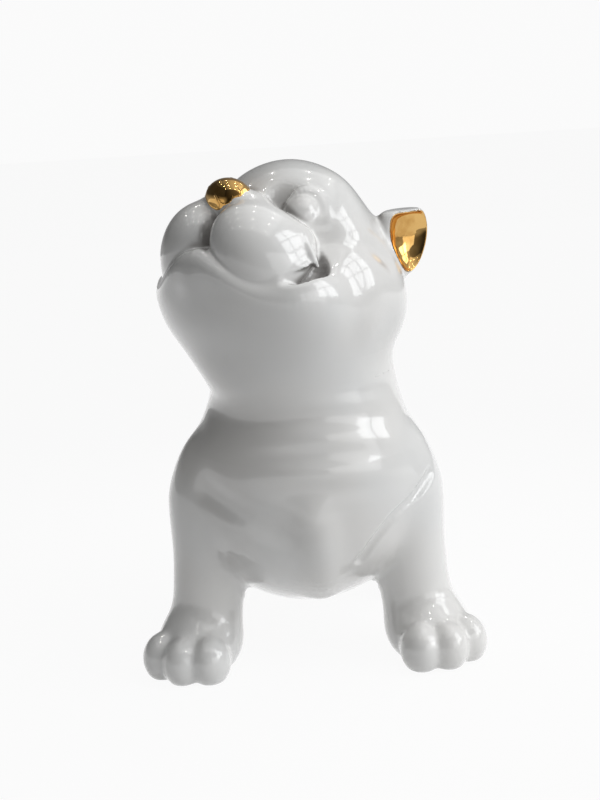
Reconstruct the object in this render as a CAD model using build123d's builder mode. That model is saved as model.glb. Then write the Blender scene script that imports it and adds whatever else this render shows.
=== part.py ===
"""Glazed porcelain puppy, standing, with its head turned to its right and lifted.

The figure is slip cast: hollow body, head and legs are cast apart, trimmed to
each other and joined with slip before firing. Ears and tail are pressed solid.
Nose and inner ears carry a fired gold skin.

Frame: +Z up, -Y the front of the dog, +X its left side, the ground at Z = 0,
the origin under the middle of the figure. Lengths are in millimetres.
"""
import os
from math import cos, radians, sin

from build123d import *

os.makedirs("parts", exist_ok=True)

# Casting
WALL = 4.5
GILDING = 0.5
DRAIN_DIAMETER = 10
DRAIN_SHARES = (0, 0.2, 0)
VENT_DIAMETER = 6
OVERRUN = 20
EGG_SEAM_TURN = -90
LYING_POLE_TURN = 90
LYING_SEAM_TURN = -45

# Body: barrel, chest, rump, withers, the yoke of the shoulders and neck, placed as shares of the barrel
BELLY_CLEARANCE = 15
BARREL_HALF_WIDTH = 46
BARREL_HALF_LENGTH = 58
BARREL_HALF_HEIGHT = 46
CHEST_HALF_WIDTH = 43.5
CHEST_HALF_LENGTH = 31
CHEST_HALF_HEIGHT = 41.5
CHEST_PLACE_SHARES = (0, -0.59, 0.15)
RUMP_HALF_WIDTH = 44.5
RUMP_HALF_LENGTH = 34
RUMP_HALF_HEIGHT = 43
RUMP_PLACE_SHARES = (0, 0.59, -0.06)
WITHERS_HALF_WIDTH = 37
WITHERS_HALF_LENGTH = 48
WITHERS_HALF_HEIGHT = 22
WITHERS_PLACE_SHARES = (0, -0.03, 0.565)
YOKE_HALF_WIDTH = 41.5
YOKE_HALF_LENGTH = 39.3
YOKE_HALF_HEIGHT = 25
YOKE_PLACE_SHARES = (0.035, -0.45, 0.5)
NECK_BASE_RADIUS = 37
NECK_BASE_SHARES = (0.035, -0.45, 0.5)
NECK_TOP_RADIUS = 32.5
NECK_TOP_SHARES = (0.052, -0.48, 0)
NECK_RISE = 49
NECK_STUB = 10

# Head: every feature is placed as shares of the skull's radius
HEAD_TURN = 42
HEAD_LIFT = 38
HEAD_RISE = 36
HEAD_FORWARD = 30
SKULL_RADIUS = 37
SKULL_SHARES = (0, 0.19, -0.11)
BROW_HALF_WIDTH = 28
BROW_HALF_LENGTH = 27
BROW_HALF_HEIGHT = 30.5
BROW_SHARES = (0, -0.23, 0.18)
THROAT_RADIUS = 31
THROAT_SHARES = (0, 0.13, -0.57)
CHEEK_HALF_WIDTH = 15
CHEEK_HALF_LENGTH = 18.5
CHEEK_HALF_HEIGHT = 14.5
CHEEK_SHARES = (0.635, -0.38, -0.53)
JOWL_HALF_WIDTH = 28.5
JOWL_HALF_LENGTH = 27.5
JOWL_HALF_HEIGHT = 21.5
JOWL_SHARES = (0.27, 0.35, -0.05)
GULLET_HALF_WIDTH = 30
GULLET_HALF_LENGTH = 25
GULLET_HALF_HEIGHT = 16
GULLET_SHARES = (0, -0.38, -0.73)
JAW_HALF_WIDTH = 24
JAW_HALF_LENGTH = 23
JAW_HALF_HEIGHT = 13
JAW_SHARES = (0, -0.46, -0.51)
FLEW_HALF_LENGTH = 20.8
FLEW_HALF_DEPTH = 14.5
FLEW_HALF_HEIGHT = 15.8
FLEW_SHARES = (0.395, -0.832, -0.303)
FLEW_SWEEP = 49.5
FLEW_DIP = 13
BRIDGE_HALF_WIDTH = 13
BRIDGE_HALF_LENGTH = 13
BRIDGE_HALF_HEIGHT = 8
BRIDGE_SHARES = (0, -0.84, 0.05)
CHIN_HALF_WIDTH = 10
CHIN_HALF_LENGTH = 8.5
CHIN_HALF_HEIGHT = 7.5
CHIN_SHARES = (0, -0.97, -0.635)
EYE_HALF_WIDTH = 6.5
EYE_HALF_DEPTH = 5.8
EYE_HALF_HEIGHT = 6.8
EYE_SHARES = (0.495, -0.68, 0.23)
NOSE_HALF_WIDTH = 9.2
NOSE_HALF_DEPTH = 6.6
NOSE_HALF_HEIGHT = 6.6
NOSE_SHARES = (0, -1.12, 0.115)

# Ear: a leaf, cut flat at its top, with a dish pressed into the side that faces out
EAR_SHARES = (0.784, 0.432, 0.676)
EAR_FACING_SHARES = (1, -0.08, -0.08)
EAR_UPRIGHT_SHARES = (0, -0.62, 0.79)
EAR_HALF_WIDTH = 10.5
EAR_HALF_HEIGHT = 13.5
EAR_HALF_DEPTH = 7
EAR_TOP = 10
EAR_RIM = 1.2
EAR_DISH_HALF_DEPTH = 6.5
EAR_DISH_OFFSET = 4.5

# Front legs: shoulder, shank and paw
FRONT_SHOULDER_OUT = 33.4
FRONT_SHOULDER_SHARES = (0, -0.52, 0.02)
FRONT_SHOULDER_HALF_WIDTH = 16.4
FRONT_SHOULDER_HALF_LENGTH = 18
FRONT_SHOULDER_HALF_HEIGHT = 28
FRONT_SHANK_TOP_RADIUS = 15.9
FRONT_ANKLE_OUT = 40.8
FRONT_ANKLE_HEIGHT = 14
FRONT_ANKLE_RADIUS = 12.3
FRONT_PAW_OUT = 43.2
FRONT_PAW_FORWARD = 7
FRONT_PAW_TURN = 22
FRONT_PAW_SIZE_SHARE = 1

# Hind legs: thigh, shank and paw
HIND_THIGH_OUT = 36
HIND_THIGH_SHARES = (0, 0.65, -0.41)
HIND_THIGH_HALF_WIDTH = 15
HIND_THIGH_HALF_LENGTH = 24
HIND_THIGH_HALF_HEIGHT = 30
HIND_SHANK_TOP_RADIUS = 13
HIND_HOCK_OUT = 39
HIND_HOCK_BACK = 7
HIND_HOCK_HEIGHT = 30
HIND_ANKLE_OUT = 41
HIND_ANKLE_HEIGHT = 14
HIND_ANKLE_RADIUS = 11.5
HIND_ANKLE_BACK = 2
HIND_PAW_OUT = 42
HIND_PAW_FORWARD = 4
HIND_PAW_TURN = 4
HIND_PAW_SIZE_SHARE = 0.88

# Paw, alike on all four legs: a pad and three toes
PAW_HALF_WIDTH = 15.5
PAW_HALF_LENGTH = 15
PAW_HALF_HEIGHT = 13
PAW_CENTRE_HEIGHT = 9.5
TOE_HALF_WIDTH = 7.6
TOE_HALF_LENGTH = 8.4
TOE_HALF_HEIGHT = 9.5
TOE_CENTRE_HEIGHT = 7.5
TOE_SPREAD = 13.8
TOE_REACH = 10
TOE_START = 4
TOE_ANGLES = (-44, 0, 44)

# Tail: a short stub, curved up
TAIL_SHARES = (0, 1.0, 0.4)
TAIL_BASE_RADIUS = 8
TAIL_TIP_RADIUS = 4
TAIL_LENGTH = 22
TAIL_LIFT = 42


def egg(half_sizes, place):
    """An ellipsoid set at a place, its poles up and down and its seam to the front."""
    unit = Sphere(1, mode=Mode.PRIVATE).rotate(Axis.Z, EGG_SEAM_TURN)
    return scale(unit, by=half_sizes, mode=Mode.PRIVATE).moved(place)


def lying_egg(half_sizes, place):
    """An ellipsoid set at a place, its poles front and back and its seam high on its left."""
    unit = Sphere(1, mode=Mode.PRIVATE).rotate(Axis.X, LYING_POLE_TURN).rotate(Axis.Y, LYING_SEAM_TURN)
    return scale(unit, by=half_sizes, mode=Mode.PRIVATE).moved(place)


def inset(half_sizes, thickness):
    """Half sizes of the same egg, thinner all round."""
    return tuple(half - thickness for half in half_sizes)


def share_of(shares, sizes):
    """A point given as shares of three sizes."""
    return Vector(*[share * size for share, size in zip(shares, sizes)])


# Body forms
BARREL = (BARREL_HALF_WIDTH, BARREL_HALF_LENGTH, BARREL_HALF_HEIGHT)
CHEST = (CHEST_HALF_WIDTH, CHEST_HALF_LENGTH, CHEST_HALF_HEIGHT)
RUMP = (RUMP_HALF_WIDTH, RUMP_HALF_LENGTH, RUMP_HALF_HEIGHT)
WITHERS = (WITHERS_HALF_WIDTH, WITHERS_HALF_LENGTH, WITHERS_HALF_HEIGHT)
YOKE = (YOKE_HALF_WIDTH, YOKE_HALF_LENGTH, YOKE_HALF_HEIGHT)
barrel_centre = Vector(0, 0, BELLY_CLEARANCE + BARREL_HALF_HEIGHT)


def on_body(shares):
    """A point given as shares of the barrel, from its centre."""
    return barrel_centre + share_of(shares, BARREL)


neck_joint = barrel_centre.Z + NECK_RISE
neck_base = on_body(NECK_BASE_SHARES)
neck_top = Vector(on_body(NECK_TOP_SHARES).X, on_body(NECK_TOP_SHARES).Y, neck_joint + NECK_STUB)
head_centre = Vector(0, barrel_centre.Y - HEAD_FORWARD, neck_joint + HEAD_RISE)

# The head's own frame: x to its left, -y along its muzzle, z through its crown
turn, lift = radians(HEAD_TURN), radians(HEAD_LIFT)
head_left = Vector(cos(turn), -sin(turn), 0)
head_crown = Vector(sin(turn) * sin(lift), cos(turn) * sin(lift), cos(lift))
head_frame = Plane(head_centre, x_dir=head_left, z_dir=head_crown)
head_middle = Plane(head_centre, x_dir=head_crown, z_dir=head_left)


def on_head(shares, sweep=0, dip=0):
    """A place on the head, given as shares of the skull's radius, turned about the crown and dipped."""
    point = share_of(shares, (SKULL_RADIUS, SKULL_RADIUS, SKULL_RADIUS))
    return head_frame.location * Location(point, (0, 0, sweep)) * Location((0, 0, 0), (0, dip, 0))


SKULL = (SKULL_RADIUS, SKULL_RADIUS, SKULL_RADIUS)
BROW = (BROW_HALF_WIDTH, BROW_HALF_LENGTH, BROW_HALF_HEIGHT)
THROAT = (THROAT_RADIUS, THROAT_RADIUS, THROAT_RADIUS)
CHEEK = (CHEEK_HALF_WIDTH, CHEEK_HALF_LENGTH, CHEEK_HALF_HEIGHT)
JOWL = (JOWL_HALF_WIDTH, JOWL_HALF_LENGTH, JOWL_HALF_HEIGHT)
GULLET = (GULLET_HALF_WIDTH, GULLET_HALF_LENGTH, GULLET_HALF_HEIGHT)
JAW = (JAW_HALF_WIDTH, JAW_HALF_LENGTH, JAW_HALF_HEIGHT)
FLEW = (FLEW_HALF_LENGTH, FLEW_HALF_DEPTH, FLEW_HALF_HEIGHT)
BRIDGE = (BRIDGE_HALF_WIDTH, BRIDGE_HALF_LENGTH, BRIDGE_HALF_HEIGHT)
CHIN = (CHIN_HALF_WIDTH, CHIN_HALF_LENGTH, CHIN_HALF_HEIGHT)
EYE = (EYE_HALF_WIDTH, EYE_HALF_DEPTH, EYE_HALF_HEIGHT)
NOSE = (NOSE_HALF_WIDTH, NOSE_HALF_DEPTH, NOSE_HALF_HEIGHT)

body_eggs = [
    (BARREL, Location(barrel_centre)),
    (CHEST, Location(on_body(CHEST_PLACE_SHARES))),
    (RUMP, Location(on_body(RUMP_PLACE_SHARES))),
    (WITHERS, Location(on_body(WITHERS_PLACE_SHARES))),
    (YOKE, Location(on_body(YOKE_PLACE_SHARES))),
    (THROAT, on_head(THROAT_SHARES)),
]
skull_eggs = [
    (SKULL, on_head(SKULL_SHARES)),
    (BROW, on_head(BROW_SHARES)),
    (THROAT, on_head(THROAT_SHARES)),
]
face_eggs = [
    (JAW, on_head(JAW_SHARES)),
    (GULLET, on_head(GULLET_SHARES)),
    (BRIDGE, on_head(BRIDGE_SHARES)),
    (CHIN, on_head(CHIN_SHARES)),
    (NOSE, on_head(NOSE_SHARES)),
]
paired_face_eggs = [
    (CHEEK, CHEEK_SHARES, 0, 0),
    (JOWL, JOWL_SHARES, 0, 0),
    (FLEW, FLEW_SHARES, FLEW_SWEEP, FLEW_DIP),
    (EYE, EYE_SHARES, 0, 0),
]


def neck(thinner):
    """The tapering neck, as a solid thinner than its outside by a wall."""
    with BuildPart() as column:
        with BuildSketch(Plane(neck_base)):
            Circle(NECK_BASE_RADIUS - thinner)
        with BuildSketch(Plane(neck_top)):
            Circle(NECK_TOP_RADIUS - thinner)
        loft()
    return column.part


def slab(height, side):
    """A block wider than the figure, standing on a height or hanging below it."""
    reach = BARREL_HALF_LENGTH + BARREL_HALF_LENGTH + OVERRUN
    tall = neck_joint + HEAD_RISE + HEAD_RISE + OVERRUN
    block = Box(reach + reach, reach + reach, tall, align=(Align.CENTER, Align.CENTER, side))
    return block.moved(Location((0, 0, height)))


neck_column = neck(0)
neck_bore = neck(WALL)
over_neck = slab(neck_joint, Align.MIN)
under_neck = slab(neck_joint, Align.MAX)
under_ground = slab(0, Align.MAX)

with BuildPart() as body_form:
    for half_sizes, place in body_eggs:
        add(lying_egg(half_sizes, place))
    add(neck_column)
    add(over_neck, mode=Mode.SUBTRACT)

with BuildPart() as body_hollow:
    for half_sizes, place in body_eggs:
        add(lying_egg(inset(half_sizes, WALL), place))
    add(neck_bore)

with BuildPart() as head_form:
    for half_sizes, place in skull_eggs + face_eggs:
        add(egg(half_sizes, place))
    for half_sizes, (out, back, up), sweep, dip in paired_face_eggs:
        add(egg(half_sizes, on_head((out, back, up), sweep, dip)))
        add(egg(half_sizes, on_head((-out, back, up), -sweep, -dip)))
    add(neck_column)
    add(under_neck, mode=Mode.SUBTRACT)

with BuildPart() as head_hollow:
    for half_sizes, place in skull_eggs:
        add(egg(inset(half_sizes, WALL), place))
    add(neck_bore)


def leg_form(thinner, thigh_sizes, thigh_centre, shank):
    """A thigh egg and the tapering shank below it, thinner than the outside by a wall."""
    with BuildPart() as limb:
        for point, radius in shank:
            with BuildSketch(Plane(point)):
                Circle(radius - thinner)
        loft()
        add(egg(inset(thigh_sizes, thinner), Location(thigh_centre)))
    return limb.part


def paw_eggs(out, back, toe_turn, size_share):
    """The eggs of one left paw, turned outwards, as half sizes and places."""
    paw_frame = Plane((out, back, 0), x_dir=(cos(radians(toe_turn)), sin(radians(toe_turn)), 0))
    eggs = [(Vector(PAW_HALF_WIDTH, PAW_HALF_LENGTH, PAW_HALF_HEIGHT), Vector(0, 0, PAW_CENTRE_HEIGHT))]
    for angle in TOE_ANGLES:
        across = TOE_SPREAD * sin(radians(angle))
        ahead = TOE_START + TOE_REACH * cos(radians(angle))
        toe_centre = Vector(across, -ahead, TOE_CENTRE_HEIGHT)
        eggs.append((Vector(TOE_HALF_WIDTH, TOE_HALF_LENGTH, TOE_HALF_HEIGHT), toe_centre))
    return [
        (tuple(half_sizes * size_share), paw_frame.location * Location(centre * size_share))
        for half_sizes, centre in eggs
    ]


# Legs: the left ones are built, and the right ones mirror them
SHOULDER = (FRONT_SHOULDER_HALF_WIDTH, FRONT_SHOULDER_HALF_LENGTH, FRONT_SHOULDER_HALF_HEIGHT)
THIGH = (HIND_THIGH_HALF_WIDTH, HIND_THIGH_HALF_LENGTH, HIND_THIGH_HALF_HEIGHT)
shoulder = on_body(FRONT_SHOULDER_SHARES) + Vector(FRONT_SHOULDER_OUT, 0, 0)
thigh = on_body(HIND_THIGH_SHARES) + Vector(HIND_THIGH_OUT, 0, 0)
front_shank = [
    (shoulder, FRONT_SHANK_TOP_RADIUS),
    (Vector(FRONT_ANKLE_OUT, shoulder.Y, FRONT_ANKLE_HEIGHT), FRONT_ANKLE_RADIUS),
]
hind_shank = [
    (Vector(HIND_HOCK_OUT, thigh.Y + HIND_HOCK_BACK, HIND_HOCK_HEIGHT), HIND_SHANK_TOP_RADIUS),
    (Vector(HIND_ANKLE_OUT, thigh.Y + HIND_ANKLE_BACK, HIND_ANKLE_HEIGHT), HIND_ANKLE_RADIUS),
]
front_paw = paw_eggs(
    FRONT_PAW_OUT, shoulder.Y - FRONT_PAW_FORWARD, FRONT_PAW_TURN, FRONT_PAW_SIZE_SHARE
)
hind_paw = paw_eggs(HIND_PAW_OUT, thigh.Y - HIND_PAW_FORWARD, HIND_PAW_TURN, HIND_PAW_SIZE_SHARE)
leg_plans = {
    "front": (SHOULDER, shoulder, front_shank, front_paw),
    "hind": (THIGH, thigh, hind_shank, hind_paw),
}

pieces = {}
vents = []
for end, (thigh_sizes, thigh_centre, shank, paw) in leg_plans.items():
    outside = leg_form(0, thigh_sizes, thigh_centre, shank)
    bore = leg_form(WALL, thigh_sizes, thigh_centre, shank)
    ankle, ankle_radius = shank[-1]
    with BuildPart() as left_leg:
        add(outside)
        add(egg((ankle_radius, ankle_radius, ankle_radius), Location(ankle)))
        for half_sizes, place in paw:
            add(egg(half_sizes, place))
        add(under_ground, mode=Mode.SUBTRACT)
        add(bore, mode=Mode.SUBTRACT)
        add(body_form.part, mode=Mode.SUBTRACT)
    with BuildPart() as right_leg:
        mirror(left_leg.part, about=Plane.YZ)
    pieces[f"{end}_left_leg"] = left_leg
    pieces[f"{end}_right_leg"] = right_leg

    # A hole pierced through the body's wall into the hollow leg, on both sides
    half_width = thigh_sizes[0]
    vent_start = Vector(-thigh_centre.X - half_width, thigh_centre.Y, thigh_centre.Z)
    with BuildPart() as vent:
        with BuildSketch(Plane(vent_start, z_dir=(1, 0, 0))):
            Circle(VENT_DIAMETER / 2)
        extrude(amount=thigh_centre.X + thigh_centre.X + half_width + half_width)
    vents.append(vent.part)

with BuildPart() as torso_shell:
    add(body_form.part)
    add(body_hollow.part, mode=Mode.SUBTRACT)
    for vent_pin in vents:
        add(vent_pin, mode=Mode.SUBTRACT)
    with BuildSketch(Plane((0, on_body(DRAIN_SHARES).Y, 0))):
        Circle(DRAIN_DIAMETER / 2)
    extrude(amount=barrel_centre.Z, mode=Mode.SUBTRACT)
pieces["torso_shell"] = torso_shell

with BuildPart() as head_shell:
    add(head_form.part)
    add(head_hollow.part, mode=Mode.SUBTRACT)
pieces["head_shell"] = head_shell

with BuildPart() as nose_gilding:
    add(egg(inset(NOSE, -GILDING), on_head(NOSE_SHARES)))
    add(head_form.part, mode=Mode.SUBTRACT)
pieces["nose_gilding"] = nose_gilding

# The left ear, in a frame that looks out of its dish
EAR = (EAR_HALF_HEIGHT, EAR_HALF_WIDTH, EAR_HALF_DEPTH)
EAR_DISH = (EAR_HALF_HEIGHT - EAR_RIM, EAR_HALF_WIDTH - EAR_RIM, EAR_DISH_HALF_DEPTH)
ear_facing = Plane((0, 0, 0), x_dir=EAR_UPRIGHT_SHARES, z_dir=EAR_FACING_SHARES)
ear_place = on_head(EAR_SHARES) * ear_facing.location
dish_place = ear_place * Location((0, 0, EAR_DISH_OFFSET))


def over_ear(height):
    """A block over the ear, from a height along its upright."""
    reach = EAR_HALF_HEIGHT + EAR_HALF_HEIGHT + OVERRUN
    block = Box(reach, reach, reach, align=(Align.MIN, Align.CENTER, Align.CENTER))
    return block.moved(ear_place * Location((height, 0, 0)))


def ear_hollow(thinner):
    """The room of the ear's dish, thinner all round."""
    with BuildPart() as room:
        add(egg(inset(EAR_DISH, thinner), dish_place))
        add(over_ear(EAR_TOP - EAR_RIM - thinner), mode=Mode.SUBTRACT)
    return room.part


with BuildPart() as left_ear:
    add(egg(EAR, ear_place))
    add(over_ear(EAR_TOP), mode=Mode.SUBTRACT)
    add(ear_hollow(0), mode=Mode.SUBTRACT)
    add(head_form.part, mode=Mode.SUBTRACT)
pieces["left_ear"] = left_ear

with BuildPart() as left_ear_gilding:
    add(ear_hollow(0))
    add(ear_hollow(GILDING), mode=Mode.SUBTRACT)
    add(egg(inset(EAR, GILDING), ear_place), mode=Mode.INTERSECT)
    add(head_form.part, mode=Mode.SUBTRACT)
pieces["left_ear_gilding"] = left_ear_gilding

with BuildPart() as right_ear:
    mirror(left_ear.part, about=head_middle)
pieces["right_ear"] = right_ear

with BuildPart() as right_ear_gilding:
    mirror(left_ear_gilding.part, about=head_middle)
pieces["right_ear_gilding"] = right_ear_gilding

tail_direction = Vector(0, cos(radians(TAIL_LIFT)), sin(radians(TAIL_LIFT)))
tail_base = on_body(TAIL_SHARES)
tail_tip = tail_base + tail_direction * TAIL_LENGTH

with BuildPart() as tail:
    with BuildSketch(Plane(tail_base, z_dir=tail_direction)):
        Circle(TAIL_BASE_RADIUS)
    with BuildSketch(Plane(tail_tip, z_dir=tail_direction)):
        Circle(TAIL_TIP_RADIUS)
    loft()
    add(egg((TAIL_TIP_RADIUS, TAIL_TIP_RADIUS, TAIL_TIP_RADIUS), Location(tail_tip)))
    add(body_form.part, mode=Mode.SUBTRACT)
pieces["tail"] = tail

# Stand the figure over the origin, at the middle of its length, and write every piece
boxes = [piece.part.bounding_box() for piece in pieces.values()]
front_most = min(box.min.Y for box in boxes)
back_most = max(box.max.Y for box in boxes)
stand = Location((0, -(front_most + back_most) / 2, 0))
for name, piece in pieces.items():
    piece.part.move(stand)
    piece.part.label = name
    export_step(piece.part, f"parts/{name}.step")
    print(name, round(piece.part.volume), piece.part.is_valid, len(piece.part.solids()))
for end, (thigh_sizes, thigh_centre, shank, paw) in leg_plans.items():
    sole = stand * paw[0][1]
    print(end, "left sole under", sole.position)
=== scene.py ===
"""A white glazed porcelain puppy with a gilded nose and gilded ears.

The figure is sculpted as one soft field of eggs and ridges, in millimetres, and each casting is the stretch
of that skin that belongs to it, so the glaze runs over the joints without a step.
"""

from collections import namedtuple

import bpy
import numpy as np
from mathutils import Matrix, Vector


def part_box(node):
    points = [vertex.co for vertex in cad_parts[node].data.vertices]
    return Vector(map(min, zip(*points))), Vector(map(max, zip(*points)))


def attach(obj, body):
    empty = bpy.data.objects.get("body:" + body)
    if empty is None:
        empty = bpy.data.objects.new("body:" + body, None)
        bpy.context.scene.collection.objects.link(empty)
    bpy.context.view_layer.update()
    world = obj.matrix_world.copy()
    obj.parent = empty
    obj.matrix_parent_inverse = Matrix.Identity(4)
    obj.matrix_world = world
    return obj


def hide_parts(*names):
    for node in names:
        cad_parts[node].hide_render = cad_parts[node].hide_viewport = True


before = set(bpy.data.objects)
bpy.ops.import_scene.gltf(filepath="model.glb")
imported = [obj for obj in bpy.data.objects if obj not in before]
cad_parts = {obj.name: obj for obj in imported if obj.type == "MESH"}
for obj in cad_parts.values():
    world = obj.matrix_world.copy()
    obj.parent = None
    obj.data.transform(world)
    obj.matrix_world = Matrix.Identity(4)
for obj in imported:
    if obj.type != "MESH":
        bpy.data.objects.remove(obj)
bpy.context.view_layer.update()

MM = 0.001

Egg = namedtuple("Egg", "place half axes", defaults=(None,))
Cone = namedtuple("Cone", "start end radius end_radius")
Fold = namedtuple("Fold", "knots radius rise fillet")
PawPlan = namedtuple("PawPlan", "place turn scale")
Casting = namedtuple("Casting", "skin cuts step")


# Sculpt: sizes and places in millimetres, standing on z = 0 with the barrel's middle at x = y = 0

def swept_axes(sweep, dip=0.0):
    """Own axes (long, across, high) of an egg swept back from the left and dipped, in degrees."""
    s, d = np.radians((sweep, dip))
    long = np.array((np.cos(s) * np.cos(d), np.sin(s) * np.cos(d), -np.sin(d)))
    across = np.array((-np.sin(s), np.cos(s), 0.0))
    return np.array((long, across, np.cross(long, across)))


def head_axes(turn, lift):
    """Rows: the left, back and up of a head turned to the puppy's right and lifted, in degrees."""
    t, u = np.radians((turn, lift))
    left = np.array((np.cos(t), -np.sin(t), 0.0))
    up = np.array((np.sin(t) * np.sin(u), np.cos(t) * np.sin(u), np.cos(u)))
    return np.array((left, np.cross(up, left), up))


# Body
BARREL = Egg((0, 0, 61), (46, 58, 46))
CHEST = Egg((0, -34.2, 67.9), (43, 30, 38))
RUMP = Egg((0, 34.2, 58.2), (42, 34, 42))
NECK = Cone((1.6, -26.1, 84), (2.4, -27.8, 120), 37.5, 31)
WITHERS = Egg((0, -2, 87), (30, 30, 22))
TAIL = Cone((0, 58, 79.4), (0, 74.35, 94.1), 8, 4)
DRAIN_BACK = 11.6
DRAIN_RADIUS = 5.0
DRAIN_TOP = 24.0
NECK_JOINT = 110.0
TRUNK_FILLET = 12.0
NECK_FILLET = 10.0
HEAD_FILLET = 6.0
TAIL_FILLET = 6.0
DRAIN_EDGE = 1.0

# Head, in its own left, back, up
HEAD_MIDDLE = (0.0, -30.0, 146.0)
HEAD_AXES = head_axes(42.0, 38.0)
HEAD_REACH = 60.0
SKULL = Egg((0, 7, -4), (36.3, 36.5, 36.5))
BROW = Egg((0, -8.6, 6.8), (28, 27, 30))
THROAT = Egg((0, 5, -22), (31, 31, 31))
CHEEK = Egg((23.3, -13.2, -19.2), (14.5, 18, 14))
JOWL = Egg((10, 13, -2), (27, 26, 20))
GULLET = Egg((0, -14, -27), (29, 24, 15))
JAW = Egg((0, -17, -19), (24, 23, 13))
CHIN = Egg((0, -36, -23.5), (10, 8.5, 7.5))
FLEW = Egg((15.4, -28.8, -11.8), (21.5, 13.4, 16), swept_axes(62, 18))
FLEW_BACK = 12.0
BRIDGE = Egg((0, -31, 2), (13, 13, 8))
NOSE = Egg((0, -41.4, 4.6), (8.6, 6.6, 6.4))
SOCKET = Egg((18, -32.4, 9.5), (9, 5, 8))
EYE = Egg((18.3, -25, 8.6), (6.3, 5.6, 6.6))

# Ridges of the face: left, back, up and radius at each point
LID = ((14.2, -28.8, 10.4, 0.5), (17.2, -27.6, 15.3, 1.8), (20.0, -23.8, 16.6, 2.1),
       (23.8, -20.9, 13.2, 1.9), (25.8, -19.4, 9.0, 1.2))
LIP = ((0, -42.2, -21.0, 3.8), (5, -41.4, -22.0, 3.8), (10.8, -38.2, -24.4, 4.1),
       (17.2, -33.0, -26.0, 4.1), (24.0, -27.2, -25.4, 3.9), (29.4, -22.4, -22.6, 3.4),
       (31.2, -19.6, -17.6, 2.4), (30.5, -18.0, -12.0, 1.0))
FLEW_FOLD = ((21.0, -27.0, 2.0, 1.6), (27.0, -26.4, -3.5, 2.0), (30.6, -23.8, -7.6, 1.3),
             (31.6, -21.6, -9.4, 0.8))
UNDER_EYE = ((7.0, -36.0, 3.0, 5.0), (13.0, -32.5, -0.8, 4.8), (19.0, -29.0, -2.0, 4.0),
             (24.5, -25.5, -1.0, 2.5))

# Folds of the face, laid on its skin: rough places, then radius and rise above the skin (one for all places,
# or one at each), then softness
MOUTH_CORNER = Fold(((29, -22, -2.5), (31, -20.8, -6), (32, -21, -9.5), (31.5, -23.5, -14.5),
                     (28, -28, -19.5)), (2.0, 3.0, 3.6, 3.2, 1.6), (-1.5, -5.0, -7.0, -6.5, -0.8), 2.0)
CORNER_HOLLOW = Fold(((26, -22, 1), (29, -18.5, -4), (31, -18, -9)),
                     (3.0, 5.0, 5.0), (-0.3, -0.8, -0.8), 4.0)
TEMPLE_GROOVE = Fold(((28, -18, 2.5), (31, -12, 6), (34, -4, 8), (35.5, 5, 9.5)),
                     5.0, (-1.4, -2.0, -1.6, -0.2), 4.0)
CHEEK_SWELL = Fold(((35, -3, -1), (36.8, 1, -6), (37.5, 4, -12)), 12.0, 0.6, 6.0)
BROW_SWELL = Fold(((21.5, -17, 25), (25.5, -15, 20), (28, -14, 15.3), (30, -11.8, 9.6)), 11.0, 0.3, 6.0)
FACE_FOLDS = (MOUTH_CORNER, CORNER_HOLLOW, TEMPLE_GROOVE, CHEEK_SWELL, BROW_SWELL)

# Fillets of the head
MIDLINE_SOFTNESS = 0.6
SKULL_FILLET = 10.0
CHEEK_FILLET = 14.0
JAW_FILLET = 8.0
CHIN_FILLET = 5.0
LIP_FILLET = 4.0
SOCKET_FILLET = 4.0
FLEW_EDGE = 2.0
BRIDGE_FILLET = 4.0
UNDER_EYE_FILLET = 7.0
FLEW_FOLD_FILLET = 1.5
MUZZLE_FILLET = 1.2
EYE_FILLET = 1.2
LID_FILLET = 1.6
NOSE_FILLET = 1.5

# Ears, in the head's axes: a leaf with a dish in its outer side
EAR_PLACE = (29.0, 16.0, 25.0)
EAR_FACING = (1.0, -0.08, -0.08)
EAR_UPRIGHT = (0.0, -0.62, 0.79)
EAR_HALF = (7.0, 10.5, 13.5)
EAR_TOP = 10.0
EAR_REACH = 18.0
EAR_TAPER_SHARE = 0.25
EAR_RIM = 1.2
EAR_DISH_HALF_DEPTH = 6.5
EAR_DISH_OFFSET = 4.5
EAR_TOP_EDGE = 2.0
EAR_DISH_EDGE = 1.0
EAR_FILLET = 4.0

# Creases of the chest and the keel between the front legs
RIGHT_CREASE = Fold(((-36, -53, 72), (-22, -62, 65), (-11, -64.5, 60.5), (0, -65, 58)), 6.0, -1.2, 5.0)
LEFT_CREASE = Fold(((47, -43, 72), (39, -50, 65), (31, -55.5, 60), (24, -57.5, 53), (18, -56, 45)),
                   2.2, -1.0, 1.2)
KEEL = Fold(((2, -64, 62), (3.5, -61, 52), (4, -55, 40), (4, -48, 31)), 7.0, 1.4, 6.0)
CHEST_FOLDS = (RIGHT_CREASE, LEFT_CREASE, KEEL)

# Soft rolls of skin across the chest
ROLL_TOP = 105.0
ROLL_PITCH = 12.6
ROLL_HEIGHT = 0.45
ROLL_SAG = 0.004
ROLL_MIDDLE = 4.0
ROLL_HALF_WIDTH = 24.0
ROLL_LOW = 66.0
ROLL_HIGH = 110.0
ROLL_FADE = 8.0
ROLL_FRONT = 40.0
ROLL_FRONT_FADE = 12.0

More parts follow.
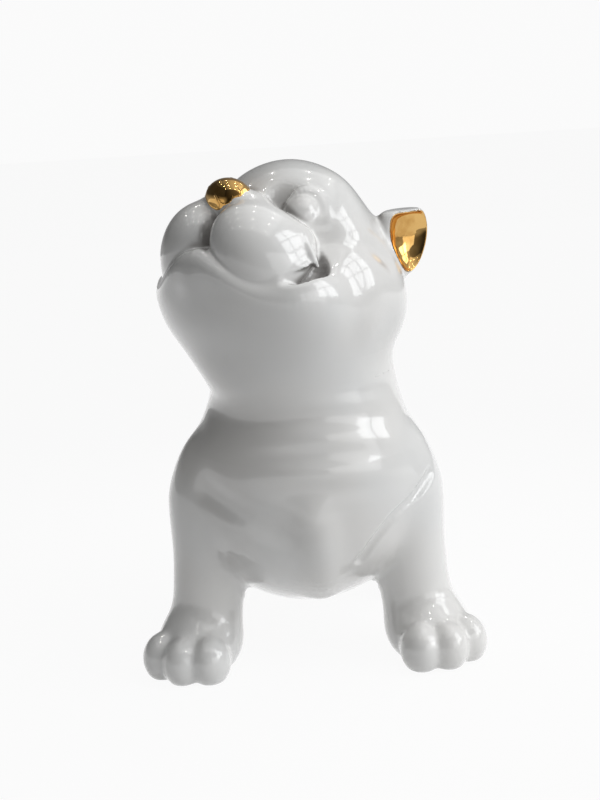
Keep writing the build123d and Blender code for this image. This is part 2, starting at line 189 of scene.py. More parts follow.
# Legs of the left side
SHOULDER = Egg((33.4, -30.2, 62), (16.4, 18, 28))
SHANK = Cone((33.4, -30.2, 62), (40.6, -30.2, 14), 15.9, 12.5)
THIGH = Egg((36, 37.7, 42.1), (15, 24, 30))
HOCK = Cone((39, 44.7, 30), (41, 39.7, 14), 13, 11.5)
FRONT_PAW = PawPlan((43.2, -37.2), 22, 1.0)
HIND_PAW = PawPlan((42, 33.7), 4, 0.88)
PAW = Egg((0, 0, 9.5), (15.5, 15, 13))
TOE_HALF = (7.4, 8.2, 9.3)
TOE_HEIGHT = 7.5
TOE_SPREAD = 13.8
TOE_SETBACK = 4.0
TOE_REACH = 10.0
TOE_ANGLES = (-44, 0, 44)
SOLE_EDGE = 1.2
TOE_FILLET = 2.5
SHANK_FILLET = 6.0
FRONT_PAW_FILLET = 8.0
FRONT_LEG_FILLET = 4.0
HOCK_FILLET = 4.0
HIND_PAW_FILLET = 5.0
HIND_LEG_FILLET = 5.0

# Gilding: how far the film stands on and reaches into the porcelain, and passes the nose and the ear's dish
GILDING_PROUD = 0.12
GILDING_DEEP = 0.35
NOSE_GILDING_REACH = 0.45
EAR_GILDING_REACH = 0.3

# The painted edge round the nose wanders a little: how far, and its waves to the left and upwards
WANDER = 0.25
WANDER_LEFT = 0.9
WANDER_UP = 0.7
WANDER_RISE = 0.6
WANDER_START = 1.0

# How far above the skin a neighbouring fold still darkens it with painted shade
SHADE_PROBE_DEPTH = 8.0

# Points further than this from a form, or from a ridge, are not changed by any fillet with it
CLEAR = 22.0
RIDGE_CLEAR = 14.0

# A form's slope is taken over this step, and folds are laid onto the skin in so many rounds
SLOPE_STEP = 0.01
LAYING_ROUNDS = 4


def near(points, middle, reach, form, clear=CLEAR):
    """A form worked out only for the points near it. The others get their gap to the ball round it."""
    gap = np.sqrt(((points - np.asarray(middle, points.dtype)) ** 2).sum(-1)) - reach
    close = gap < clear
    if close.any():
        gap[close] = form(points[close])
    return gap


def egg(points, shape):
    """Near distance to an egg, below zero inside it."""
    offset = points - np.asarray(shape.place, points.dtype)
    if shape.axes is not None:
        offset = offset @ np.asarray(shape.axes, points.dtype).T
    share = offset / np.asarray(shape.half, points.dtype)
    steep = share / np.asarray(shape.half, points.dtype)
    radius = np.sqrt((share * share).sum(-1)) + 1e-6
    return radius * (radius - 1) / (np.sqrt((steep * steep).sum(-1)) + 1e-6)


def cone(points, shape):
    """Distance to a round-ended cone."""
    start = np.asarray(shape.start, points.dtype)
    run = np.asarray(shape.end, points.dtype) - start
    offset = points - start
    along = np.clip((offset @ run) / (run @ run), 0, 1)
    gap = np.sqrt(((offset - along[..., None] * run) ** 2).sum(-1))
    return gap - (shape.radius + (shape.end_radius - shape.radius) * along)


def curve(knots, steps=4):
    """Points of a smooth curve through the knots."""
    knots = np.asarray(knots, float)
    ends = np.vstack((2 * knots[0] - knots[1], knots, 2 * knots[-1] - knots[-2]))
    run = []
    for before, start, end, after in zip(ends, ends[1:], ends[2:], ends[3:]):
        bend = 2 * before - 5 * start + 4 * end - after
        twist = 3 * start - before - 3 * end + after
        for t in np.arange(steps) / steps:
            run.append(start + 0.5 * ((end - before) * t + bend * t**2 + twist * t**3))
    return np.array(run + [knots[-1]])


def ridge(points, knots):
    """Distance to a round ridge along a smooth curve."""
    run = curve(knots)
    middle = run[:, :3].mean(0)
    reach = np.linalg.norm(run[:, :3] - middle, axis=1).max() + run[:, 3].max()

    def chain(close):
        links = [Cone(a[:3], b[:3], a[3], b[3]) for a, b in zip(run, run[1:])]
        return np.min([cone(close, link) for link in links], axis=0)

    return near(points, middle, reach, chain, clear=RIDGE_CLEAR)


def join(a, b, fillet):
    """Union of two forms with a soft fillet."""
    width = 1.5 * fillet
    close = np.maximum(width - np.abs(a - b), 0) / width
    return np.minimum(a, b) - close**3 * width / 6


def carve(a, b, fillet):
    """Form a with form b taken out of it."""
    return -join(-a, b, fillet)


def slope(form, points):
    """A form's values and unit gradients."""
    corners = np.array(((1, 1, 1), (1, -1, -1), (-1, 1, -1), (-1, -1, 1)), float)
    values = np.array([form(points + SLOPE_STEP * corner) for corner in corners])
    gradient = np.tensordot(values, corners, (0, 0)) / (4 * SLOPE_STEP)
    length = np.linalg.norm(gradient, axis=-1, keepdims=True) + 1e-9
    return values.mean(0) / length[:, 0], gradient / length


def laid(fold, skin):
    """The fold's knots, sunk or lifted so that its round crest or bottom passes the skin by its rise."""
    knots = np.array(fold.knots, float)
    radius = np.broadcast_to(fold.radius, len(knots))
    rise = np.broadcast_to(fold.rise, len(knots))
    for _ in range(LAYING_ROUNDS):
        gap, normal = slope(skin, knots)
        knots -= gap[:, None] * normal
    centre = knots + (rise - np.sign(rise) * radius)[:, None] * normal
    return np.column_stack((centre, radius))


def with_folds(form, points, folds, laid_knots):
    """A form with raised folds joined to it and creases carved into it."""
    for fold, knots in zip(folds, laid_knots):
        shape = join if np.max(fold.rise) > 0 else carve
        form = shape(form, ridge(points, knots), fold.fillet)
    return form


def folded(points, soft=0.0):
    """Both sides folded onto the left one."""
    side = np.sqrt(points[..., 0] ** 2 + soft * soft)
    return np.stack((side, points[..., 1], points[..., 2]), -1)


def in_head(points):
    """Points in the head's left, back and up."""
    return (points - np.asarray(HEAD_MIDDLE, points.dtype)) @ HEAD_AXES.astype(points.dtype).T


def bare_head(local):
    """The head without its folds, muzzle and eyes, in its own axes."""
    side = folded(local, MIDLINE_SOFTNESS)
    form = join(egg(local, SKULL), egg(local, BROW), SKULL_FILLET)
    form = join(form, egg(local, THROAT), SKULL_FILLET)
    form = join(form, egg(side, CHEEK), CHEEK_FILLET)
    form = join(form, egg(side, JOWL), JAW_FILLET)
    form = join(form, egg(local, JAW), JAW_FILLET)
    form = join(form, egg(local, GULLET), JAW_FILLET)
    form = join(form, egg(local, CHIN), CHIN_FILLET)
    form = join(form, ridge(side, LIP), LIP_FILLET)
    return carve(form, egg(side, SOCKET), SOCKET_FILLET)


def muzzle_form(local):
    """The flews, cut off behind at the corners of the mouth, and the ridges above them."""
    side = folded(local, MIDLINE_SOFTNESS)
    behind = (side - np.asarray(FLEW.place, side.dtype)) @ FLEW.axes[0].astype(side.dtype) - FLEW_BACK
    form = carve(egg(side, FLEW), -behind, FLEW_EDGE)
    form = join(form, egg(local, BRIDGE), BRIDGE_FILLET)
    form = join(form, ridge(side, UNDER_EYE), UNDER_EYE_FILLET)
    return join(form, ridge(side, FLEW_FOLD), FLEW_FOLD_FILLET)


LAID_FACE_FOLDS = [laid(fold, bare_head) for fold in FACE_FOLDS]


def whole_head(points):
    """The head with its folds, muzzle, eyes and nose, without the ears."""
    local = in_head(points)
    side = folded(local, MIDLINE_SOFTNESS)
    form = with_folds(bare_head(local), side, FACE_FOLDS, LAID_FACE_FOLDS)
    form = join(form, muzzle_form(local), MUZZLE_FILLET)
    form = join(form, egg(side, EYE), EYE_FILLET)
    form = join(form, ridge(side, LID), LID_FILLET)
    return join(form, egg(local, NOSE), NOSE_FILLET)


def head_form(points):
    return near(points, HEAD_MIDDLE, HEAD_REACH, whole_head)


def ear_axes():
    """Rows: the way the left ear's dish faces, its width and its height, in the head's axes."""
    facing = np.array(EAR_FACING) / np.linalg.norm(EAR_FACING)
    upright = np.array(EAR_UPRIGHT) - np.dot(EAR_UPRIGHT, facing) * facing
    upright /= np.linalg.norm(upright)
    return np.array((facing, np.cross(upright, facing), upright))


def in_ear(side):
    """Points of the head's left side in the ear's facing, width and height."""
    local = (side - np.asarray(EAR_PLACE, side.dtype)) @ ear_axes().astype(side.dtype).T
    local[..., 1] /= 1 + EAR_TAPER_SHARE * np.clip(local[..., 2] / EAR_HALF[2], -1, 1)
    return local


def leaf_form(side, offset, half, top):
    """An egg of the ear with its top cut flat."""
    local = in_ear(side)
    return carve(egg(local, Egg((offset, 0, 0), half)), top - local[..., 2], EAR_TOP_EDGE)


def ear_form(points):
    def leaf(side):
        return leaf_form(side, 0, EAR_HALF, EAR_TOP)

    return near(folded(in_head(points)), EAR_PLACE, EAR_REACH, leaf)


def ear_dish(points):
    half = (EAR_DISH_HALF_DEPTH, EAR_HALF[1] - EAR_RIM, EAR_HALF[2] - EAR_RIM)

    def dish(side):
        return leaf_form(side, EAR_DISH_OFFSET, half, EAR_TOP - EAR_RIM)

    return near(folded(in_head(points)), EAR_PLACE, EAR_REACH, dish)


def trunk_form(points):
    form = join(egg(points, BARREL), egg(points, RUMP), TRUNK_FILLET)
    form = join(form, egg(points, CHEST), TRUNK_FILLET)
    form = join(form, egg(points, WITHERS), TRUNK_FILLET)
    return join(form, cone(points, NECK), NECK_FILLET)


def paw_form(side, plan):
    """A pad and three toes."""
    (x, y), turn, scale = plan
    local = (side - np.asarray((x, y, 0), side.dtype)) @ swept_axes(turn).astype(side.dtype).T / scale
    form = egg(local, PAW)
    for angle in np.radians(TOE_ANGLES):
        place = (TOE_SPREAD * np.sin(angle), -(TOE_SETBACK + TOE_REACH * np.cos(angle)), TOE_HEIGHT)
        form = join(form, egg(local, Egg(place, TOE_HALF)), TOE_FILLET)
    return form * scale


def front_leg_form(points):
    side = folded(points)
    form = join(egg(side, SHOULDER), cone(side, SHANK), SHANK_FILLET)
    return join(form, paw_form(side, FRONT_PAW), FRONT_PAW_FILLET)


def hind_leg_form(points):
    side = folded(points)
    form = join(egg(side, THIGH), cone(side, HOCK), HOCK_FILLET)
    return join(form, paw_form(side, HIND_PAW), HIND_PAW_FILLET)


def tail_form(points):
    return cone(points, TAIL)


def drain(points):
    """The hole under the belly."""
    radius = np.hypot(points[..., 0], points[..., 1] - DRAIN_BACK)
    return np.maximum(radius - DRAIN_RADIUS, points[..., 2] - DRAIN_TOP)


def chest_rolls(points):
    """How far the soft rolls of skin across the chest stand out."""
    x, y, z = points[..., 0], points[..., 1], points[..., 2]
    above_low = np.clip((z - ROLL_LOW) / ROLL_FADE, 0, 1)
    below_high = np.clip((ROLL_HIGH - z) / ROLL_FADE, 0, 1)
    in_front = np.clip((-y - ROLL_FRONT) / ROLL_FRONT_FADE, 0, 1)
    inward = above_low * below_high * in_front
    wave = np.cos(2 * np.pi * (z - ROLL_TOP + ROLL_SAG * x * x) / ROLL_PITCH)
    return ROLL_HEIGHT * wave * inward * np.exp(-((x - ROLL_MIDDLE) / ROLL_HALF_WIDTH) ** 2)


def smooth_puppy(points):
    """The whole skin before the folds of the chest are laid on it."""
    form = join(trunk_form(points), head_form(points), HEAD_FILLET)
    form = join(form, front_leg_form(points), FRONT_LEG_FILLET)
    form = join(form, hind_leg_form(points), HIND_LEG_FILLET)
    form = join(form, tail_form(points), TAIL_FILLET)
    return join(form, ear_form(points), EAR_FILLET)


LAID_CHEST_FOLDS = [laid(fold, smooth_puppy) for fold in CHEST_FOLDS]


def puppy(points):
    """The skin of the whole figure, below zero inside it."""
    form = smooth_puppy(points) - chest_rolls(points)
    form = with_folds(form, points, CHEST_FOLDS, LAID_CHEST_FOLDS)
    form = carve(form, ear_dish(points), EAR_DISH_EDGE)
    form = carve(form, drain(points), DRAIN_EDGE)
    return carve(form, points[..., 2], SOLE_EDGE)


# Castings: the side of the joint that each one keeps is below zero

TONGUE = 1.0
TONGUE_SINK = 0.03
TONGUE_RAMP = 0.4


def between(kept, other):
    """The joint halfway between two forms."""
    return lambda points: 0.5 * (kept(points) - other(points))


def past(cut):
    """A joint that the casting passes by its tongue."""
    return lambda points: cut(points) - TONGUE


def tongued(*cuts):
    """The skin of a casting that reaches a little under its neighbours, so that no joint shows light."""
    def skin(points):
        beyond = np.max([cut(points) for cut in cuts], axis=0)
        return puppy(points) + TONGUE_SINK * np.clip(beyond / TONGUE_RAMP, 0, 1)

    return Casting(skin, tuple(past(cut) for cut in cuts), PLAIN)


def above_neck_joint(points):
    return NECK_JOINT - points[..., 2]


def below_neck_joint(points):
    return points[..., 2] - NECK_JOINT


def head_left(points):
    return -in_head(points)[..., 0]


def gilding_skin(points):
    return puppy(points) - GILDING_PROUD


def gilding_back(points):
    return -puppy(points) - GILDING_DEEP


def nose_gilding_edge(points):
    local = in_head(points)
    left, up = local[..., 0], local[..., 2]
    wave = np.sin(WANDER_LEFT * left + WANDER_UP * up)
    return egg(local, NOSE) - NOSE_GILDING_REACH + WANDER * wave * np.sin(WANDER_RISE * up + WANDER_START)


def ear_gilding_edge(points):
    return ear_dish(points) - EAR_GILDING_REACH


COARSEN = 1.0
FINE = 0.7 * COARSEN
PLAIN = 1.0 * COARSEN
FILM = 0.22

TORSO_CUTS = (
    below_neck_joint,
    between(trunk_form, front_leg_form),
    between(trunk_form, hind_leg_form),
    between(trunk_form, tail_form),
)
CASTINGS = {
    "head_shell": tongued(above_neck_joint, between(head_form, ear_form))._replace(step=FINE),
    "torso_shell": Casting(puppy, TORSO_CUTS, PLAIN),
    "front_left_leg": tongued(between(front_leg_form, trunk_form)),
    "front_right_leg": tongued(between(front_leg_form, trunk_form)),
    "hind_left_leg": tongued(between(hind_leg_form, trunk_form)),
    "tail": tongued(between(tail_form, trunk_form)),
    "left_ear": Casting(puppy, (between(ear_form, head_form), head_left), FINE),
    "nose_gilding": Casting(gilding_skin, (gilding_back, nose_gilding_edge), FILM),
    "left_ear_gilding": Casting(gilding_skin, (gilding_back, ear_gilding_edge, head_left), FILM),
}
MIRRORED = {
    "hind_left_leg": "hind_right_leg",
    "left_ear": "right_ear",
    "left_ear_gilding": "right_ear_gilding",
}


# Meshing

# The tip of the tail says where the barrel stands in the frame
stand = np.array((0.0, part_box("tail")[1].y / MM - (TAIL.end[1] + TAIL.end_radius), 0.0))

BOX_MARGIN = 8.0
BLOCK = 6
BLOCK_REACH_SHARE = 1.2
SETTLING_ROUNDS = 5
JOINT_SHARE = 0.6
ON_SKIN = 0.02
SMOOTH_FACING = 0.3


def grid_values(form, low, counts, step):
    """A form on a grid, first by coarse blocks, then in full near its skin."""
    coarse = [np.arange(-(-n // BLOCK) + 1) * BLOCK for n in counts]
    places = np.stack(np.meshgrid(*coarse, indexing="ij"), -1).astype(np.float32)
    rough = form((low + step * places).reshape(-1, 3).astype(np.float32)).reshape(places.shape[:3])
    for axis, n in enumerate(counts):
        share = np.arange(n) / BLOCK
        first = share.astype(int)
        shape = [1, 1, 1]
        shape[axis] = n
        part = (share - first).reshape(shape)
        rough = np.take(rough, first, axis) * (1 - part) + np.take(rough, first + 1, axis) * part
    close = np.abs(rough) < BLOCK_REACH_SHARE * BLOCK * step
    index = np.argwhere(close)
    rough[close] = form((low + step * index).astype(np.float32))
    return rough


def net(values, low, step):
    """Points and four-sided faces of the skin between the grid's inside and outside."""
    inside = values < 0
    corners = np.array(np.meshgrid((0, 1), (0, 1), (0, 1), indexing="ij")).reshape(3, -1).T
    size = np.array(values.shape) - 1
    count = sum(inside[a:a + size[0], b:b + size[1], c:c + size[2]].astype(np.int8) for a, b, c in corners)
    mixed = (count > 0) & (count < 8)
    cells = np.argwhere(mixed)
    number = np.full(mixed.shape, -1)
    number[mixed] = np.arange(len(cells))
    total = np.zeros((len(cells), 3))
    crossings = np.zeros((len(cells), 1))
    for axis in range(3):
        along = np.eye(3, dtype=int)[axis]
        for corner in corners[corners[:, axis] == 0]:
            start = values[tuple((cells + corner).T)]
            end = values[tuple((cells + corner + along).T)]
            crosses = ((start < 0) != (end < 0))[:, None]
            share = (start / np.where(start == end, 1, start - end))[:, None]
            total += np.where(crosses, cells + corner + share * along, 0)
            crossings += crosses
    faces = []
    for axis in range(3):
        side, over = (axis + 1) % 3, (axis + 2) % 3
        first = np.moveaxis(inside, axis, 0)
        changed = np.moveaxis(first[:-1] != first[1:], 0, axis)
        edges = np.argwhere(changed)
        edges = edges[(edges[:, side] > 0) & (edges[:, over] > 0)]
        edges = edges[(edges[:, side] < size[side]) & (edges[:, over] < size[over])]
        step_side, step_over = np.eye(3, dtype=int)[side], np.eye(3, dtype=int)[over]
        ring = [edges, edges - step_side, edges - step_side - step_over, edges - step_over]
        quads = np.stack([number[tuple(cell.T)] for cell in ring], -1)
        starts_inside = inside[tuple(edges.T)][:, None]
        faces.append(np.where(starts_inside, quads, quads[:, ::-1]))
    return low + step * total / crossings, np.vstack(faces)


def settle(points, casting, step):
    """Points moved onto the skin, and where they are close to a joint onto the joint too."""
    surfaces = (casting.skin,) + casting.cuts
    for _ in range(SETTLING_ROUNDS):
        values = np.array([surface(points) for surface in surfaces])
        active = values > values.max(0) - JOINT_SHARE * step
        for surface, on in zip(surfaces, active):
            if on.any():
                gap, normal = slope(surface, points[on])
                points[on] -= np.clip(gap, -step, step)[:, None] * normal
    return points


def casting_mesh(name):
    """Points, faces, corner normals and painted crease shade of one casting, in millimetres."""
    casting = CASTINGS[name]
    step = casting.step
    corner_low, corner_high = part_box(name)
    low = np.array(corner_low) / MM - stand - BOX_MARGIN
    high = np.array(corner_high) / MM - stand + BOX_MARGIN
    counts = np.ceil((high - low) / step).astype(int) + 1

    def solid(points):
        return np.max([surface(points) for surface in (casting.skin,) + casting.cuts], axis=0)

    points, faces = net(grid_values(solid, low, counts, step), low, step)
    points = settle(points, casting, step)
    gap, normals = slope(casting.skin, points)
    on_skin = np.abs(gap) < ON_SKIN
    crossed = np.cross(points[faces[:, 2]] - points[faces[:, 0]], points[faces[:, 3]] - points[faces[:, 1]])
    flat = crossed / (np.linalg.norm(crossed, axis=1, keepdims=True) + 1e-12)
    corners = normals[faces]
    outer = on_skin[faces].all(1) & ((corners * flat[:, None]).sum(-1) > SMOOTH_FACING).all(1)
    corners = np.where(outer[:, None, None], corners, flat[:, None])
    # How closely the skin folds round each point: the share of painted shade that darkens creases and
    # hollows
    painted_shade = np.clip(1 - puppy(points + SHADE_PROBE_DEPTH * normals) / SHADE_PROBE_DEPTH, 0, 1)
    return points, faces, corners, painted_shade


def make_piece(name, points, faces, corners, painted_shade, finish, slot):
    """One glazed or gilded piece that stands for its casting."""
    mesh = bpy.data.meshes.new(name)
    mesh.from_pydata(((points + stand) * MM).tolist(), [], faces.tolist())
    mesh.polygons.foreach_set("use_smooth", np.ones(len(faces), bool))
    mesh.normals_split_custom_set(corners.reshape(-1, 3).tolist())
    # The share of painted crease shade rides on the mesh as an attribute
    layer = mesh.attributes.new("painted_shade", "FLOAT", "POINT")
    layer.data.foreach_set("value", painted_shade.astype(np.float32))
    piece = bpy.data.objects.new(name + "_look", mesh)
    bpy.context.scene.collection.objects.link(piece)
    mesh.materials.append(finish)
    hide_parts(name)
    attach(piece, "root")


def mirror(points, corners, in_head_plane):
    """A casting of the left side on the right one."""
    across = HEAD_AXES[0] if in_head_plane else np.array((1.0, 0.0, 0.0))
    middle = np.array(HEAD_MIDDLE)
    turned = points - 2 * ((points - middle) @ across)[:, None] * across
    return turned, corners - 2 * (corners @ across)[..., None] * across


# Finishes

SWELL_DEPTH = 0.0006


class Value:
    """A shader value: sums and products of these add Math nodes to their finish."""

    def __init__(self, finish, socket):
        self.finish = finish
        self.socket = socket

    def maths(self, operation, *values):
        return self.finish.node("ShaderNodeMath", {"operation": operation}, dict(enumerate(values)))

    def __add__(self, other):
        return self.maths("ADD", self, other)

    def __sub__(self, other):
        return self.maths("SUBTRACT", self, other)

    def __rsub__(self, other):
        return self.maths("SUBTRACT", other, self)

    def __mul__(self, other):
        return self.maths("MULTIPLY", self, other)

    def __gt__(self, other):
        return self.maths("GREATER_THAN", self, other)

    def __lt__(self, other):
        return self.maths("LESS_THAN", self, other)

    __radd__ = __add__
    __rmul__ = __mul__


class Finish:
    """A material under construction."""

    def __init__(self, name, world=None):
        self.material = world or bpy.data.materials.new(name)
        self.material.use_nodes = True
        self.tree = self.material.node_tree
        self.tree.nodes.clear()

    def node(self, kind, settings=None, inputs=None, output=0):
        """One node: its settings first, then the values or links of its sockets."""
        node = self.tree.nodes.new(kind)
        for key, setting in (settings or {}).items():
            setattr(node, key, setting)
        for key, given in (inputs or {}).items():
            if isinstance(given, Value):
                self.tree.links.new(given.socket, node.inputs[key])
            else:
                node.inputs[key].default_value = given
        return Value(self, node.outputs[output]) if node.outputs else node

    def mix(self, share, first, second):
        sockets = {0: share, 6: first, 7: second}
        return self.node("ShaderNodeMix", {"data_type": "RGBA"}, sockets, output=2)

    def place(self):
        return self.node("ShaderNodeTexCoord", output=3)

    def noise(self, scale, detail=2.0):
        inputs = {"Vector": self.place(), "Scale": scale, "Detail": detail}
        return self.node("ShaderNodeTexNoise", {}, inputs)

    def range(self, value, low, high, to_low=0.0, to_high=1.0):
        inputs = {"Value": value, 1: low, 2: high, 3: to_low, 4: to_high}
        return self.node("ShaderNodeMapRange", {"interpolation_type": "SMOOTHSTEP"}, inputs)

    def bump(self, strength, height):
        inputs = {"Strength": strength, "Distance": SWELL_DEPTH, "Height": height}
        return self.node("ShaderNodeBump", {}, inputs)

    def end(self, shader, kind="ShaderNodeOutputMaterial"):
        self.node(kind, {}, {"Surface": shader})
        return self.material


def rgb(red, green, blue):
    return (red, green, blue, 1.0)


def grey(tone):
    return rgb(tone, tone, tone)


PORCELAIN = rgb(0.84, 0.845, 0.84)
WARM_PORCELAIN = rgb(0.86, 0.855, 0.84)
# Painted shade for the creases and hollows
PAINTED_CREASE_SHADE = rgb(0.34, 0.33, 0.32)
PINHOLE_BROWN = rgb(0.25, 0.23, 0.2)
BARE_CLAY = rgb(0.78, 0.74, 0.68)
CLOUDS = 22.0
PINHOLE_CELLS = 70.0
PINHOLE_SIZE = 0.016
PINHOLE_RARITY = 0.88
PINHOLE_SHARE = 0.7
BARE_HEIGHT = 0.0004
BARE_FULLY = 0.0001
GRIT = 2600.0
GLAZE_SWELLS = 140.0
GLAZE_SWELL_SHARE = 0.05
GLASS_IOR = 1.5


def white_glaze():
    """Clear glaze on white porcelain: painted shade in the creases, a few pinholes, and bare on the soles.
    """
    f = Finish("white_glaze")
    painted_shade = f.node("ShaderNodeAttribute", {"attribute_name": "painted_shade"}, output=2)
    height = f.node("ShaderNodeSeparateXYZ", {}, {0: f.place()}, output=2)
    cloud = f.range(f.noise(CLOUDS), 0.35, 0.65)
    body = f.mix(cloud, PORCELAIN, WARM_PORCELAIN)
    # Painted shade: creases and hollows are darkened towards grey by how closely the skin folds round them
    body = f.mix(f.range(painted_shade, 0.35, 0.85), body, PAINTED_CREASE_SHADE)
    cells = {"Vector": f.place(), "Scale": PINHOLE_CELLS}
    spot = f.node("ShaderNodeTexVoronoi", {}, cells)
    chance = f.node("ShaderNodeSeparateColor", {}, {0: f.node("ShaderNodeTexVoronoi", {}, cells, output=1)})
    pinhole = (spot < PINHOLE_SIZE) * (chance > PINHOLE_RARITY)
    body = f.mix(pinhole * PINHOLE_SHARE, body, PINHOLE_BROWN)
    bare = f.range(height, BARE_HEIGHT, BARE_FULLY)
    body = f.mix(bare, body, BARE_CLAY)
    grit = f.noise(GRIT)
    rough = 0.16 + 0.06 * cloud + bare * (0.5 + 0.2 * grit)
    swell = f.noise(GLAZE_SWELLS, 1.0)
    bump = f.bump(GLAZE_SWELL_SHARE, swell + bare * grit)
    shader = f.node("ShaderNodeBsdfPrincipled", {}, {
        "Base Color": body,
        "Roughness": rough,
        "IOR": GLASS_IOR,
        "Coat Weight": 1.0 - bare,
        "Coat Roughness": 0.03,
        "Coat IOR": GLASS_IOR,
        "Normal": bump,
    })
    return f.end(shader)


THICK_LUSTRE = rgb(0.72, 0.45, 0.16)
THIN_LUSTRE = rgb(0.56, 0.31, 0.09)
BRUSH_STROKES = 160.0
LUSTRE_SWELLS = 130.0
LUSTRE_SWELL_SHARE = 0.6


def gold_lustre():
    """Fired gold lustre: mirror bright, brushed on by hand and browner where it lies thin."""
    f = Finish("gold_lustre")
    stroke = f.range(f.noise(BRUSH_STROKES, 3.0), 0.35, 0.7)
    metal = f.mix(stroke, THICK_LUSTRE, THIN_LUSTRE)
    bump = f.bump(LUSTRE_SWELL_SHARE, f.noise(LUSTRE_SWELLS, 2.0))
    shader = f.node("ShaderNodeBsdfPrincipled", {}, {
        "Base Color": metal,
        "Metallic": 1.0,
        "Roughness": 0.05 + 0.07 * stroke,
        "Normal": bump,
    })
    return f.end(shader)


# Stage: pale floor, grey studio cards, a paned window light on the right and small ceiling lights

def sheet_of(name, corners):
    mesh = bpy.data.meshes.new(name)
    mesh.from_pydata(corners, [], [(0, 1, 2, 3)])
    sheet = bpy.data.objects.new(name, mesh)
    bpy.context.scene.collection.objects.link(sheet)
    return sheet


def to_camera(f):
    """One for rays that show the background itself or its mirror image."""
    path = [f.node("ShaderNodeLightPath", output=name) for name in
            ("Is Camera Ray", "Is Glossy Ray", "Is Transmission Ray")]
    return path[0].maths("MAXIMUM", path[0], path[1].maths("MAXIMUM", path[1], path[2]))


FLOOR_HALF = 6.0
FLOOR_GLOW = 0.94
# Painted light on the floor: its colour is lightest within this reach of the figure and fades to the far
# tone by the next
PAINTED_LIGHT_FULL_REACH = 0.1
PAINTED_LIGHT_FADE_REACH = 0.4
FLOOR_PAINTED_LIGHT_TONE = 0.75
FLOOR_FAR_TONE = 0.25


def pale_floor():
    """White to the eye, with a pool of light painted on it round the figure, so that it throws less onto the
    figure from further away.
    """
    half = FLOOR_HALF
    floor = sheet_of("floor", [(-half, -half, 0), (half, -half, 0), (half, half, 0), (-half, half, 0)])
    f = Finish("pale_floor")
    away = f.node("ShaderNodeVectorMath", {"operation": "LENGTH"}, {0: f.place()}, output=1)
    # Painted light: the floor's colour is lighter near the figure, a pool of light painted round its feet
    tone = f.mix(f.range(away, PAINTED_LIGHT_FULL_REACH, PAINTED_LIGHT_FADE_REACH), grey(FLOOR_PAINTED_LIGHT_TONE), grey(FLOOR_FAR_TONE))
    lit = f.node("ShaderNodeBsdfDiffuse", {}, {"Color": tone})
    glow = f.node("ShaderNodeEmission", {}, {"Color": grey(1.0), "Strength": 1.0})
    share = to_camera(f) * FLOOR_GLOW
    floor.data.materials.append(f.end(f.node("ShaderNodeMixShader", {}, {0: share, 1: lit, 2: glow})))


ROOM_HALF = 1.6
ROOM_HEIGHT = 2.2
CARD_SHARES = {
    "left_card": 1.0,
    "right_card": 1.0,
    "front_card": 0.45,
    "back_card": 0.8,
    "ceiling_card": 2.2,
}
DARK_TONE = 0.05
LIGHT_TONE = 0.56
FOOT_TONE = 0.4
FOOT_HEIGHT = 0.5


def studio_cards():
    """Four walls and a ceiling that only the glaze and the gold see, darker towards the puppy's right."""
    r, h = ROOM_HALF, ROOM_HEIGHT
    outlines = {
        "left_card": [(-r, -r, 0), (-r, r, 0), (-r, r, h), (-r, -r, h)],
        "right_card": [(r, -r, 0), (r, r, 0), (r, r, h), (r, -r, h)],
        "front_card": [(-r, -r, 0), (r, -r, 0), (r, -r, h), (-r, -r, h)],
        "back_card": [(-r, r, 0), (r, r, 0), (r, r, h), (-r, r, h)],
        "ceiling_card": [(-r, -r, h), (r, -r, h), (r, r, h), (-r, r, h)],
    }
    for name, corners in outlines.items():
        card = sheet_of(name, corners)
        card.visible_camera = False
        card.visible_shadow = False
        f = Finish(name)
        across = f.node("ShaderNodeSeparateXYZ", {}, {0: f.place()})
        height = f.node("ShaderNodeSeparateXYZ", {}, {0: f.place()}, output=2)
        dark, light = CARD_SHARES[name] * DARK_TONE, CARD_SHARES[name] * LIGHT_TONE
        tone = f.mix(f.range(across, -r, r), grey(dark), grey(light))
        tone = f.mix(f.range(height, 0.0, FOOT_HEIGHT), grey(FOOT_TONE), tone)
        finish = f.end(f.node("ShaderNodeEmission", {}, {"Color": tone, "Strength": 1.0}))
        finish.cycles.emission_sampling = "NONE"
        card.data.materials.append(finish)


def area_lamp(name, place, aim, size, radiance, tone):
    lamp = bpy.data.lights.new(name, "AREA")
    lamp.shape = "RECTANGLE"
    lamp.size, lamp.size_y = size
    lamp.energy = radiance * np.pi * size[0] * size[1]
    lamp.color = tone
    item = bpy.data.objects.new(name, lamp)
    item.location = place
    item.rotation_euler = (Vector(aim) - Vector(place)).to_track_quat("-Z", "Y").to_euler()
    bpy.context.scene.collection.objects.link(item)


WINDOW_DISTANCE = 1.2
WINDOW_AZIMUTH = 75.0
WINDOW_HEIGHT = 0.8
PANE = (0.35, 0.32)
PANE_GAP = 0.045
PANE_COLUMNS = 2
PANE_ROWS = 3
WINDOW_RADIANCE = 3.2
WINDOW_TONE = (0.97, 0.985, 1.0)


def paned_window():
    azimuth = np.radians(WINDOW_AZIMUTH)
    outward = np.array((np.sin(azimuth), -np.cos(azimuth), 0))
    along = np.array((np.cos(azimuth), np.sin(azimuth), 0))
    for column in range(PANE_COLUMNS):
        for row in range(PANE_ROWS):
            side = (column - (PANE_COLUMNS - 1) / 2) * (PANE[0] + PANE_GAP)
            rise = WINDOW_HEIGHT + (row - (PANE_ROWS - 1) / 2) * (PANE[1] + PANE_GAP)
            place = WINDOW_DISTANCE * outward + side * along + np.array((0, 0, rise))
            area_lamp(f"pane_{column}_{row}", place, place - outward, PANE, WINDOW_RADIANCE, WINDOW_TONE)


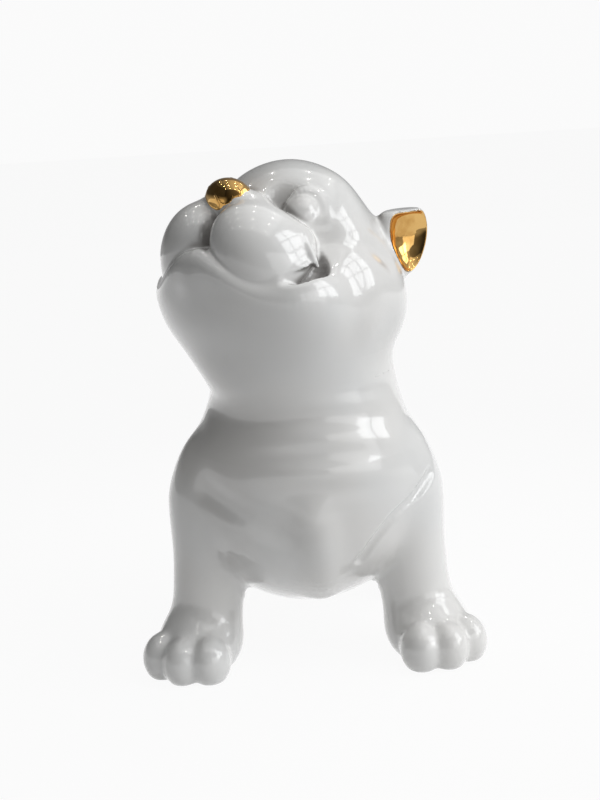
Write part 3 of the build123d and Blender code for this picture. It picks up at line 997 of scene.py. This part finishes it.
FRONT_LAMP_PLACE = (0.95, -0.95, 0.35)
FRONT_LAMP_AIM = (0.0, 0.0, 0.08)
FRONT_LAMP_SIZE = (1.2, 0.6)
FRONT_LAMP_RADIANCE = 1.2
FRONT_LAMP_TONE = (1.0, 1.0, 1.0)


def front_lamp():
    area_lamp("front_lamp", FRONT_LAMP_PLACE, FRONT_LAMP_AIM, FRONT_LAMP_SIZE,
              FRONT_LAMP_RADIANCE, FRONT_LAMP_TONE)


CEILING_LAMP_HEIGHT = 1.5
CEILING_LAMP_SIZE = (0.035, 0.035)
CEILING_LAMP_SPACING = 0.55
CEILING_LAMP_ROWS = 4
CEILING_LAMP_RADIANCE = 60.0
CEILING_LAMP_TONE = (1.0, 0.97, 0.92)


def ceiling_lamps():
    steps = (np.arange(CEILING_LAMP_ROWS) - (CEILING_LAMP_ROWS - 1) / 2) * CEILING_LAMP_SPACING
    for row, y in enumerate(steps):
        for column, x in enumerate(steps):
            place = (x, y, CEILING_LAMP_HEIGHT)
            area_lamp(f"ceiling_lamp_{row}_{column}", place, (x, y, 0), CEILING_LAMP_SIZE,
                      CEILING_LAMP_RADIANCE, CEILING_LAMP_TONE)


WORLD_LIGHT = 0.2
WORLD_GLOW = 0.76


def white_world():
    world = bpy.data.worlds.new("white_world")
    f = Finish("white_world", world)
    share = to_camera(f)
    strength = share * WORLD_GLOW + WORLD_LIGHT
    background = f.node("ShaderNodeBackground", {}, {"Color": grey(1.0), "Strength": strength})
    f.end(background, "ShaderNodeOutputWorld")
    bpy.context.scene.world = world


CAMERA_PLACE = (0.0, -0.50544, 0.205)
CAMERA_DIP = 12.6
CAMERA_ROLL = 3.5
CAMERA_LENS = 59.9
CAMERA_SENSOR = 36.0
CAMERA_CLIP = 0.01


def photo_camera():
    dip, roll = np.radians((CAMERA_DIP, CAMERA_ROLL))
    ahead = np.array((0, np.cos(dip), -np.sin(dip)))
    level = np.array((1.0, 0, 0))
    above = np.cross(level, ahead)
    right = level * np.cos(roll) - above * np.sin(roll)
    up = above * np.cos(roll) + level * np.sin(roll)
    turn = Matrix(np.array((right, up, -ahead)).T.tolist()).to_4x4()
    lens = bpy.data.cameras.new("photo_camera")
    lens.lens = CAMERA_LENS
    lens.sensor_width = CAMERA_SENSOR
    lens.clip_start = CAMERA_CLIP
    camera = bpy.data.objects.new("photo_camera", lens)
    camera.matrix_world = Matrix.Translation(CAMERA_PLACE) @ turn
    bpy.context.scene.collection.objects.link(camera)
    bpy.context.scene.camera = camera


# The figure, then the stage round it
glaze = white_glaze()
gold = gold_lustre()
for casting_name in CASTINGS:
    gilded = casting_name.endswith("gilding")
    look = (gold, "gold_lustre") if gilded else (glaze, "white_glaze")
    # Each casting carries its painted crease shade into its look
    skin_points, skin_faces, skin_corners, skin_painted_shade = casting_mesh(casting_name)
    make_piece(casting_name, skin_points, skin_faces, skin_corners, skin_painted_shade, *look)
    if casting_name in MIRRORED:
        turned_points, turned_corners = mirror(skin_points, skin_corners, "ear" in casting_name)
        make_piece(MIRRORED[casting_name], turned_points, skin_faces[:, ::-1], turned_corners[:, ::-1],
                   skin_painted_shade, *look)

pale_floor()
studio_cards()
paned_window()
front_lamp()
ceiling_lamps()
white_world()
photo_camera()
bpy.context.scene.view_settings.view_transform = "Standard"
